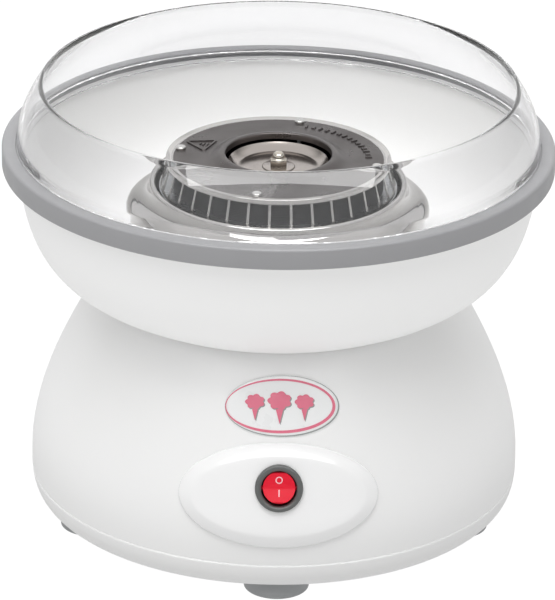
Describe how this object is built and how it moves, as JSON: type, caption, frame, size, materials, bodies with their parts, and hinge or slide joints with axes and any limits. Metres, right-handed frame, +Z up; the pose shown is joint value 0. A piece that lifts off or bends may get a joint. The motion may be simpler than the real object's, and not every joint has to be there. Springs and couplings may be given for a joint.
{
  "type": "cotton candy machine",
  "caption": "Tabletop cotton candy machine: waisted base with rocker switch, heated spinning head, lift-off bowl and clear guard.",
  "frame": {"origin": "on the vertical axis of the head, on the surface that the feet stand on", "axes": "+Z up along the axis of the spinning head, the switch faces -Y and +X is to the right of someone facing the switch"},
  "size_m": [0.2724, 0.2724, 0.2266],
  "materials": {
    "white_plastic": "moulded satin-gloss ABS",
    "panel_plastic": "moulded gloss ABS",
    "label": "printed label plate",
    "grey_plastic": "moulded satin plastic",
    "foot_rubber": "moulded rubber",
    "black_rubber": "moulded rubber",
    "switch_black": "moulded nylon",
    "switch_red": "translucent red polycarbonate",
    "mark_white": "printed mark",
    "brass": "stamped",
    "zinc_steel": "zinc plated",
    "chrome": "polished",
    "bright_steel": "polished stainless",
    "aluminium": "pressed sheet",
    "cover_grey": "dark grey non-stick coating",
    "slot_steel": "pressed and slotted",
    "screen_dark": "dark heat-stained sheet",
    "heater_sheath": "oxidised nickel alloy",
    "ceramic": "unglazed steatite",
    "lamination": "blued electrical steel",
    "copper_wire": "enamelled copper winding",
    "bronze": "sintered bronze",
    "carbon": "pressed graphite",
    "capacitor_yellow": "moulded case",
    "terminal_white": "moulded polyamide",
    "fan_plastic": "moulded polyamide",
    "clear_plastic": "clear moulded polycarbonate"
  },
  "bodies": {
    "base": {"base_housing": "white_plastic", "base_plate": "white_plastic", "suction_feet": "foot_rubber", "foot_screws": "zinc_steel", "base_screws": "zinc_steel", "control_panel": "panel_plastic", "badge": "label", "switch_body": "switch_black", "switch_terminals": "brass", "cord_inlet": "black_rubber", "heater_shroud": "chrome", "shroud_screws": "zinc_steel", "heat_shield": "aluminium", "heater_tube": "heater_sheath", "heater_clips": "zinc_steel", "heater_bushes": "ceramic", "thermostat": "aluminium", "thermal_fuse": "zinc_steel", "motor_bracket": "zinc_steel", "rubber_mounts": "black_rubber", "motor_screws": "zinc_steel", "stator_core": "lamination", "field_coils": "copper_wire", "motor_bolts": "zinc_steel", "upper_bearing": "bronze", "lower_bracket": "zinc_steel", "lower_bearing": "bronze", "brush_holders": "brass", "carbon_brushes": "carbon", "suppression_capacitor": "capacitor_yellow", "terminal_block": "terminal_white"},
    "rocker": {"switch_rocker": "switch_red", "switch_marks": "mark_white"},
    "spinner": {"motor_shaft": "bright_steel", "rotor_core": "lamination", "rotor_winding": "copper_wire", "commutator": "copper_wire", "cooling_fan": "fan_plastic", "spinner_pan": "aluminium", "spinner_screen": "screen_dark", "spinner_band": "slot_steel", "spinner_rim": "bright_steel", "spinner_cover": "cover_grey", "head_rivets": "aluminium", "sugar_dish": "bright_steel", "cap_washer": "zinc_steel", "cap_nut": "bright_steel"},
    "bowl": {"bowl": "white_plastic", "rim_ring": "grey_plastic"},
    "guard": {"splash_guard": "clear_plastic"}
  },
  "joints": [
    {"name": "head_spin", "type": "hinge", "parent": "base", "child": "spinner", "pos_m": [0, 0, 0.17], "axis": [0, 0, 1], "continuous": true},
    {"name": "switch_rock", "type": "hinge", "parent": "base", "child": "rocker", "pos_m": [0, -0.11836, 0.06389], "axis": [1, 0, 0], "range_deg": [0, 18]},
    {"name": "bowl_lift", "type": "slide", "parent": "base", "child": "bowl", "axis": [0, 0, 1], "range_m": [0, 0.09]},
    {"name": "guard_lift", "type": "slide", "parent": "bowl", "child": "guard", "axis": [0, 0, 1], "range_m": [0, 0.04]}
  ]
}
